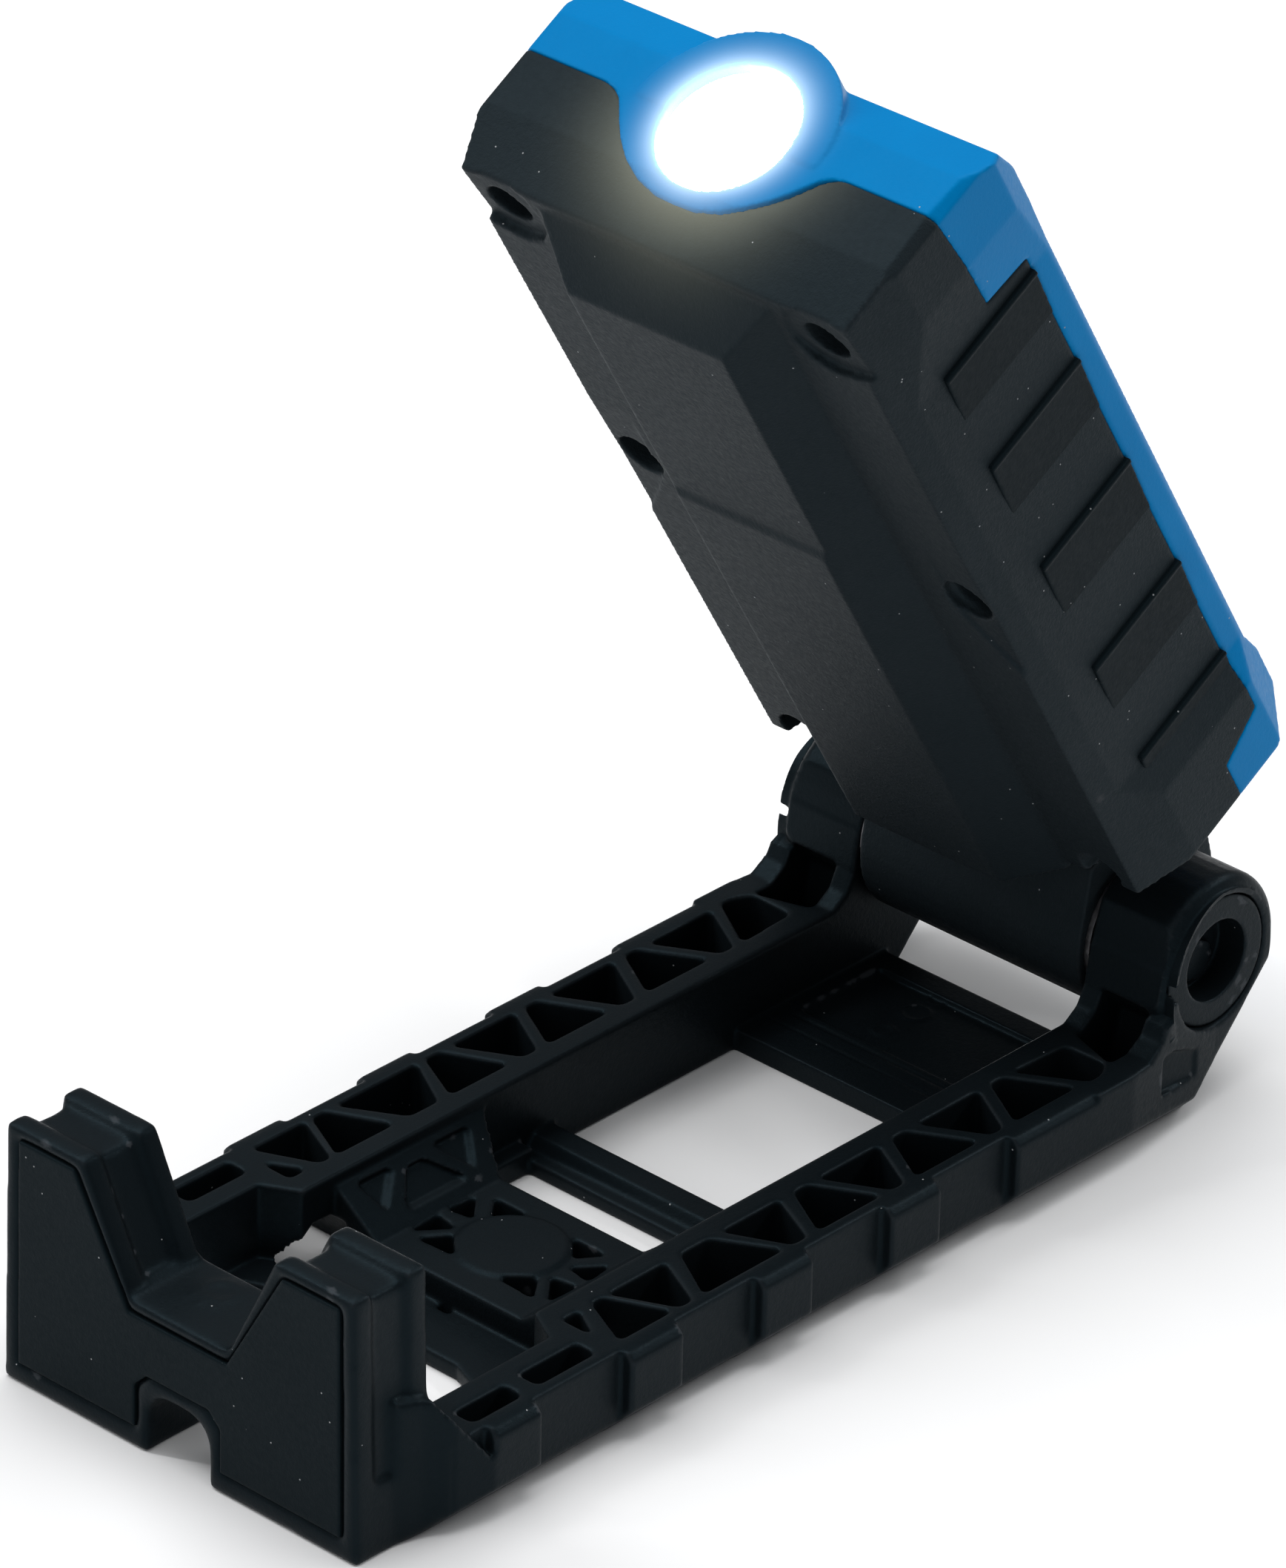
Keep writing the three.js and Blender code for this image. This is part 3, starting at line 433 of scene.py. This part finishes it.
# name, CAD node, body, finish, voxel size, smoothing passes
SOFT_PIECES = (
    ("foot_face", "foot_pad", "stand", "soft_rubber", 0.2, 4),
    ("barrel", "hinge_barrel", "head", "shell_black", 0.3, 4),
    ("lens", "spot_lens", "head", "clear_lens", 0.2, 3),
    ("flood_window", "cob_window", "head", "diffuser", 0.2, 3),
    ("port_flap", "port_cover", "cover", "soft_rubber", 0.15, 3),
    ("button_cap", "power_button", "button", "soft_rubber", 0.15, 3),
)


# ---- lamp head ----
HEAD_HALF = 28.8
HEAD_END_HALF = 30.0
SHELL_WALL = 2.0
SHELL_VOXEL = 0.28
SHELL_PASSES = 3
SHELL_KEEP = 0.5
SCREW_RADIUS = 2.9
SCREW_DEPTH = 6.4
POST_RADIUS = 3.8
PARTING_GAP = 0.05
SCREWS = ((23.2, 119.4), (24.6, 73.3), (22.9, 20.6))
PARTING_LINE = ((17, 4), (17, 23.6), (24, 26.2), (24, 108.8), (16.9, 109.3), (15.1, 126.8), (15.1, 141))
SPOT_BORDER = (
    (0, 5.3), (3, 5.5), (6, 6.3), (8.6, 7.7), (10.8, 9.5), (12.6, 11.4),
    (13.8, 12.9), (14.8, 14.1), (16.2, 14.9), (18.5, 15.2), (18.5, 22),
)
SCOOP_CENTRE = 17.5
SCOOP_RADIUS = 12.0
SCOOP_WIDTH = 5.5
SCOOP_DEPTH = 0.55
GRIP_RIDGES = (106.9, 91.2, 73.0, 54.0, 36.7)
GRIP_END = 26.6
GRIP_REAR = 7.8
GRIP_FRONT = 24.1


def head_prism(points, axis, low, high):
    """A prism drawn in the head's own upright directions."""
    return prism(points, axis, low, high, HEAD)


def head_block(inset=0.0):
    """The head's main block: its side view, front view and cross section together."""
    side_view = [
        (inset, 19.0 + inset), (12.3, 16.4 + inset), (17.4, 16.3 + inset), (24.0, 17.3 + inset),
        (29.3 - inset, 22.9 + inset), (29.3 - inset, 29.5), (27.9 - inset, 34.1), (27.8 - inset, 107.5),
        (28.2 - inset, 113.5), (28.2 - inset, 119.5), (26.5 - inset, 124 - inset), (21, 126.5 - inset),
        (15, 126.8 - inset), (7.5, 126.6 - inset), (inset, 124.0 - inset),
    ]
    end = HEAD_END_HALF - inset
    middle = HEAD_HALF - inset
    front_view = symmetric([
        (end - 1.5, 16 + inset), (end, 18 + inset), (end, 30), (middle, 35.5), (middle, 107),
        (end, 117), (end, 125.6 - inset), (end - 1.2, 127 - inset),
    ])
    section = symmetric([
        (middle - 0.8, inset), (middle - 0.1, 3), (end, 8), (end, 25), (end - 3, 30 - inset),
    ])
    block = head_prism(side_view, "x", -32, 32)
    return combined(block, "INTERSECT", [
        head_prism(front_view, "y", -1, 31),
        head_prism(section, "z", 10, 130),
    ])


def head_keel():
    """The raised spine on the rear, a little lower above its slanted cross step."""
    section = symmetric([(11, -5.5), (16.9, 0.02), (16.9, 4)])
    side_view = [
        (4, 17), (-1, 17.4), (-5.5, 18), (-5.5, 80.5), (-5.1, 81.6), (-5.1, 116.6), (0, 122.6), (4, 123.4),
    ]
    return combined(head_prism(section, "z", 15, 126), "INTERSECT", [head_prism(side_view, "x", -20, 20)])


def spot_ring():
    """The ring round the lens where it stands proud of the front."""
    ring = head_prism(circle(0, SPOT_DEPTH, 13, 72), "z", 112, SPOT_END)
    front = head_prism([(-20, 15.1), (20, 15.1), (20, CLEAR), (-20, CLEAR)], "z", 100, 140)
    return combined(ring, "INTERSECT", [front])


def head_solid():
    """The whole closed head, before it is parted."""
    solid = combined(head_block(), "UNION", [head_keel(), spot_ring()])
    middle = head_prism([(-CLEAR, -1), (CLEAR, -1), (CLEAR, CLEAR), (-CLEAR, CLEAR)], "z", 22, 122)
    room = combined(head_block(SHELL_WALL), "INTERSECT", [middle])
    posts = []
    for side in SIDES:
        for across, along in SCREWS:
            post = head_prism(circle(side * across, along, POST_RADIUS), "y", 1, 24)
            posts.append(combined(post, "INTERSECT", [head_block(0.5)]))
    return combined(combined(solid, "DIFFERENCE", [room]), "UNION", posts)


def front_region(gap):
    """Everything in front of the parting line, with the dip round the spot."""
    line = [(depth + gap, along) for depth, along in PARTING_LINE]
    region = head_prism(line + [(45, 141), (45, 4)], "x", -CLEAR, CLEAR)
    border = [(across - gap if across else across, depth + gap) for across, depth in SPOT_BORDER]
    return combined(region, "UNION", [head_prism(symmetric(border), "z", 118, 140)])


def sloped_hollow(side, slope, outline):
    """A hollow at the side edge: slope is its side view, outline its shape from the rear."""
    solid = head_prism(slope, "x", -33, 33)
    return combined(solid, "INTERSECT", [head_prism(mirrored(outline, side), "y", -2, 3)])


def screw_cuts(side):
    """Screw holes with the shallow hollows that run from them to the side edge."""
    cuts = []
    for across, along in SCREWS:
        cuts.append(head_prism(circle(side * across, along, SCREW_RADIUS), "y", -9, SCREW_DEPTH))
    across, along = SCREWS[0]
    cuts.append(head_prism(circle(side * across, along, 5.3), "y", -9, 0.35))
    slope = [(-3, 110), (1.0, 110), (1.0, 115.5), (0.0, 124.5), (-3, 124.5)]
    crescent = [(18.2, 117.6), (19.8, 115.2), (22.6, 114.2), (26, 114.6), (31, 116.2), (31, 127), (19, 127)]
    cuts.append(sloped_hollow(side, slope, crescent))
    across, along = SCREWS[1]
    cuts.append(head_prism(circle(side * (across - 0.3), along, 3.1), "y", -9, 1.4))
    slope = [(-3, 60), (0.5, 60), (0.4, 72), (0.0, 83), (-3, 83)]
    wedge = [(21.9, 71.6), (22.5, 70), (28.2, 61.4), (32, 61.4), (32, 84), (21.9, 84)]
    cuts.append(sloped_hollow(side, slope, wedge))
    return cuts


def port_cut(outset):
    """The opening for the charging port's flap in the left side."""
    rear, front = 9 - outset, 18.8 + outset
    bottom, top = 30 - outset, 48.2 + outset
    return head_prism([(rear, bottom), (front, bottom), (front, top), (rear, top)], "x", -CLEAR, -27)


def scoop_end(piece):
    """A shallow dip in the end face that fades out at a soft curve round the spot."""
    back = HEAD.inverted()
    for vertex in piece.data.vertices:
        spot = back @ vertex.co
        if spot.z < 122 or spot.y > 15.2:
            continue
        reach = math.hypot(spot.x, spot.y - SCOOP_CENTRE)
        share = min(max((reach - SCOOP_RADIUS) / SCOOP_WIDTH, 0.0), 1.0)
        spot.z -= SCOOP_DEPTH * math.sin(math.pi * share ** 0.6)
        vertex.co = HEAD @ spot


def add_rear_housing():
    """The black shell: everything behind the parting line."""
    piece = combined(head_solid(), "DIFFERENCE", [front_region(PARTING_GAP)])
    piece.name = "rear_housing"
    combined(piece, "DIFFERENCE", screw_cuts(-1) + screw_cuts(1) + [port_cut(0)])
    softened(piece, SHELL_VOXEL, SHELL_PASSES, SHELL_KEEP)
    scoop_end(piece)
    finish_piece(piece, "head", "shell_black", "rear_shell")


def add_front_housing():
    """The blue shell, with openings for the flood window, spot, button and charge light."""
    piece = combined(head_solid(), "INTERSECT", [front_region(0.0)])
    piece.name = "front_housing"
    window = [(-19.1, 24.6), (19.1, 24.6), (19.1, CLEAR), (-19.1, CLEAR)]
    flood = [(-17.5, 20), (17.5, 20), (17.5, CLEAR), (-17.5, CLEAR)]
    button = [(-7.15, 33.05), (7.15, 33.05), (7.15, 42.15), (-7.15, 42.15)]
    combined(piece, "DIFFERENCE", [
        head_prism(window, "z", 45.9, 107.1),
        head_prism(flood, "z", 47.4, 105.6),
        head_prism(circle(0, SPOT_DEPTH, LENS_RADIUS + 0.15, 64), "z", 110, 140),
        head_prism(button, "y", 20, CLEAR),
        head_prism(circle(11.5, 38, 1.3), "y", 20, CLEAR),
    ])
    softened(piece, SHELL_VOXEL, SHELL_PASSES, SHELL_KEEP)
    finish_piece(piece, "head", "shell_blue", "front_shell")


def grip_scale(side, ridge, below):
    """One scale of a side grip: a lip along its upper edge, then a slope down into the side."""
    fade = (ridge + below) / 2
    section = [
        (28.2, ridge), (29.35, ridge), (29.55, ridge - 0.25), (29.5, ridge - 0.6), (29.25, ridge - 0.85),
        (29.25, ridge - 1.1), (28.78, fade), (28.2, fade),
    ]
    return head_prism(mirrored(section, side), "y", GRIP_REAR, GRIP_FRONT)


def add_grips():
    """The row of rubber scales on each side of the head."""
    for side, name, node in ((-1, "left_grip", "side_grip_left"), (1, "right_grip", "side_grip_right")):
        ends = (*GRIP_RIDGES[1:], GRIP_END)
        scales = [grip_scale(side, ridge, below) for ridge, below in zip(GRIP_RIDGES, ends)]
        piece = combined(scales[0], "UNION", scales[1:])
        piece.name = name
        if side < 0:
            combined(piece, "DIFFERENCE", [port_cut(0.1)])
        softened(piece, 0.16, 3, 0.6)
        finish_piece(piece, "head", "soft_rubber", node)


# ---- hinge plugs ----
PLUG_RADIUS = 8.15
PLUG_INNER = 17.8
PLUG_OUTER = 28.9
PLUG_SHAFT_RADIUS = 6.0
PLUG_RECESS_RADIUS = 5.1
PLUG_RECESS_FLOOR = 24.9


def add_plugs():
    """The plug in each hinge eye, with its key, its round recess and the rough end inside it."""
    for side, name, node in ((-1, "left_plug", "hinge_plug_left"), (1, "right_plug", "hinge_plug_right")):
        flange = circle(HINGE_Y, HINGE_Z, PLUG_RADIUS, 96)
        body = prism(flange, "x", *outward(side, PLUG_INNER, PLUG_OUTER), STAND)
        key_outline = [(130.5, 17.6), (131.7, 17.6), (131.7, 19.4), (130.5, 19.4)]
        key = prism(key_outline, "x", *outward(side, 27.4, PLUG_OUTER), STAND)
        shaft = prism(circle(HINGE_Y, HINGE_Z, PLUG_SHAFT_RADIUS, 72), "x", *outward(side, 9, 18), STAND)
        rough_outline = circle(HINGE_Y + 0.6, HINGE_Z - 1.6, 2.6, 9)
        rough_end = prism(rough_outline, "x", *outward(side, 22, 25.6), STAND)
        hollow = circle(HINGE_Y, HINGE_Z, PLUG_RECESS_RADIUS, 72)
        recess = prism(hollow, "x", *outward(side, PLUG_RECESS_FLOOR, 31), STAND)
        combined(body, "UNION", [key, shaft])
        combined(body, "DIFFERENCE", [recess])
        combined(body, "UNION", [rough_end])
        body.name = name
        softened(body, 0.18, 3, 0.5)
        finish_piece(body, "stand", "stand_plastic", node)


# ---- stand ----
MARK_CENTRE = (-1.4, 8.2)
MARK_LEVEL = 18.6
MARK_RAY_TURNS = (-35, 0, 35)
PLATE_RINGS = ((121.8, 1.2), (127.4, 1.7), (131.3, 1.2))
EYE_RADIUS = 10.6
EYE_ROUND_START = 27.2
EYE_ROUND_WIDTH = 1.8
EYE_ROUND_DROP = 1.5
EYE_ROUND_LOW = 12
EYE_ROUND_RISE = 7
FOOT_END = 11.5
FOOT_PASSES = 40


def ring(across, along, level, radius, width, height):
    """A low moulded ring on a level surface of the stand."""
    outer = prism(circle(across, along, radius + width / 2), "z", level - 0.5, level + height, STAND)
    inner = prism(circle(across, along, radius - width / 2), "z", level - 1, level + height + 1, STAND)
    return combined(outer, "DIFFERENCE", [inner])


def valley_mark():
    """The plain ring with three short rays on the foot's valley floor."""
    marks = [ring(*MARK_CENTRE, MARK_LEVEL, radius=2.0, width=0.5, height=0.3)]
    for turn in MARK_RAY_TURNS:
        angle = math.radians(turn - 90)
        start = Vector((math.cos(angle), math.sin(angle)))
        side = Vector((-start.y, start.x)) * 0.22
        middle = Vector(MARK_CENTRE)
        near, far = middle + start * 2.8, middle + start * 3.7
        outline = [near - side, near + side, far + side, far - side]
        points = [(point.x, point.y) for point in outline]
        marks.append(prism(points, "z", MARK_LEVEL - 0.4, MARK_LEVEL + 0.25, STAND))
    return marks


def foot_bar():
    """The low bar across the stand's floor, between the foot's opening and the magnet plate."""
    outline = symmetric([(0, 34.4), (9, 34.4), (22.5, 29), (22.5, 37), (18.5, 41.4), (0, 41.4)])
    return prism(outline, "z", 0, 2.2, STAND)


def eye_walls():
    """The lug's front wall, which the plug's key notch only enters at the outer face."""
    inner = [(128.7, 15.8), (131.0, 15.8), (131.0, 20.9), (129.6, 20.9)]
    outer = [(128.7, 15.8), (130.2, 15.8), (130.2, 20.9), (129.6, 20.9)]
    walls = []
    for side in SIDES:
        walls.append(prism(inner, "x", *outward(side, 17.7, 27.7), STAND))
        walls.append(prism(outer, "x", *outward(side, 27.5, 28.95), STAND))
    return walls


def rail_tunnels():
    """Where each rail is cut away underneath, beside the foot's opening."""
    side_view = [
        (35, -1), (35.4, 1.5), (37.0, 4.8), (39, 6.5), (42, 6.5), (44.5, 4.5), (46, 1.5), (46.5, -1),
    ]
    return [prism(side_view, "x", *outward(side, 16, 26), STAND) for side in SIDES]


def round_eye(piece):
    """Rounds the outer edge of each hinge eye."""
    back = STAND.inverted()
    for vertex in piece.data.vertices:
        spot = back @ vertex.co
        reach = math.hypot(spot.y - HINGE_Y, spot.z - HINGE_Z)
        share = (abs(spot.x) - EYE_ROUND_START) / EYE_ROUND_WIDTH
        if share < 0 or not 9.0 < reach < 11.2 or spot.z < EYE_ROUND_LOW:
            continue
        fade = min((spot.z - EYE_ROUND_LOW) / EYE_ROUND_RISE, 1.0)
        arc = 1 - math.sqrt(max(0.0, 1 - min(share, 1.0) ** 2))
        limit = EYE_RADIUS - EYE_ROUND_DROP * fade * arc
        if reach > limit:
            spot.y = HINGE_Y + (spot.y - HINGE_Y) * limit / reach
            spot.z = HINGE_Z + (spot.z - HINGE_Z) * limit / reach
            vertex.co = STAND @ spot


def round_foot(piece):
    """The foot's edges are rounder than the rest of the moulding."""
    group = piece.vertex_groups.new(name="foot")
    back = STAND.inverted()
    chosen = [vertex.index for vertex in piece.data.vertices if (back @ vertex.co).y < FOOT_END]
    group.add(chosen, 1.0, "REPLACE")
    smooth = piece.modifiers.new("rounder", "SMOOTH")
    smooth.factor = EDGE_SMOOTHING
    smooth.iterations = FOOT_PASSES
    smooth.vertex_group = group.name
    applied(piece)


def add_stand_body():
    """The stand's single moulding, from the CAD solid with its small details added."""
    piece = from_cad("stand_body", "stand_frame")
    rings = [ring(-6.2, along, 2.1, radius, width=0.3, height=0.14) for along, radius in PLATE_RINGS]
    combined(piece, "UNION", [foot_bar(), *eye_walls(), *rings, *valley_mark()])
    lip = prism([(-15.5, 115.9), (15.5, 115.9), (15.5, 116.5), (-15.5, 116.5)], "z", 2.5, 6, STAND)
    combined(piece, "DIFFERENCE", [lip, *rail_tunnels()])
    softened(piece, 0.28, 6, 0.6)
    round_eye(piece)
    round_foot(piece)
    finish_piece(piece, "stand", "stand_plastic", "stand_frame")


def build():
    """Every piece of the lamp."""
    dress_cad_nodes()
    add_stand_body()
    for name, node, body, slot, voxel, passes in SOFT_PIECES:
        piece = from_cad(name, node)
        softened(piece, voxel, passes)
        finish_piece(piece, body, slot, node)
    add_rear_housing()
    add_front_housing()
    add_grips()
    add_plugs()


# ---- stage, light and camera ----
FLOOR_WHITE = (0.9, 0.9, 0.9)
FLOOR_SHADE = (0.88, 0.88, 0.885)
FLOOR_HALF = 4.0
LIGHT_TARGET = Vector((0, 0, 0.05))
SKY_COLOUR = (0.95, 0.97, 1.0)
SKY_STRENGTH = 0.25
CAMERA_PLACE = (0.64964, -0.71781, 0.59509)
CAMERA_RIGHT = Vector((0.73128, 0.68171, 0.02244))
CAMERA_DOWN = Vector((0.34639, -0.34284, -0.87320))
CAMERA_FORWARD = Vector((-0.58758, 0.64632, -0.48685))
CAMERA_LENS = 230.4


def add_floor():
    """A plain white floor."""
    shape = bmesh.new()
    bmesh.ops.create_grid(shape, x_segments=8, y_segments=8, size=FLOOR_HALF)
    mesh = bpy.data.meshes.new("floor")
    shape.to_mesh(mesh)
    shape.free()
    floor = mesh_object("floor", mesh)
    material, nodes, links, surface = shader("floor", FLOOR_WHITE, 0.8)
    patches = spread(nodes, links, noise(nodes, links, 4), 0, 1)
    links.new(tint(nodes, links, patches, FLOOR_WHITE, FLOOR_SHADE), surface.inputs["Base Color"])
    mesh.materials.append(material)


def add_light(name, place, size, watts):
    """A rectangular light aimed at the lamp."""
    lamp = bpy.data.lights.new(name, "AREA")
    lamp.shape = "RECTANGLE"
    lamp.size, lamp.size_y = size
    lamp.energy = watts
    holder = bpy.data.objects.new(name, lamp)
    holder.location = place
    holder.rotation_euler = (Vector(place) - LIGHT_TARGET).to_track_quat("Z", "Y").to_euler()
    bpy.context.scene.collection.objects.link(holder)


def add_world():
    """Even light from all round."""
    world = bpy.data.worlds.new("studio")
    world.use_nodes = True
    background = world.node_tree.nodes["Background"]
    background.inputs["Color"].default_value = (*SKY_COLOUR, 1)
    background.inputs["Strength"].default_value = SKY_STRENGTH
    bpy.context.scene.world = world
    bpy.context.scene.view_settings.view_transform = "Standard"


def add_camera():
    """A long lens that looks down at the stand's right front corner."""
    camera = bpy.data.cameras.new("camera")
    camera.sensor_width = 36
    camera.lens = CAMERA_LENS
    camera.clip_start = 0.01
    holder = bpy.data.objects.new("camera", camera)
    turn = Matrix((CAMERA_RIGHT, -CAMERA_DOWN, -CAMERA_FORWARD)).transposed().to_4x4()
    holder.matrix_world = Matrix.Translation(CAMERA_PLACE) @ turn
    bpy.context.scene.collection.objects.link(holder)
    bpy.context.scene.camera = holder


add_camera()
add_world()
add_light("overhead", (-0.2, 0.1, 1.6), (1.6, 1.6), 25)
add_light("front", (0.2, -1.4, 0.7), (1.2, 0.7), 2.2)
add_light("left_strip", (-0.9, -0.5, 0.9), (0.06, 1.0), 6)
add_light("back_strip", (0.5, 1.1, 0.9), (1.0, 0.06), 6)
add_floor()
build()
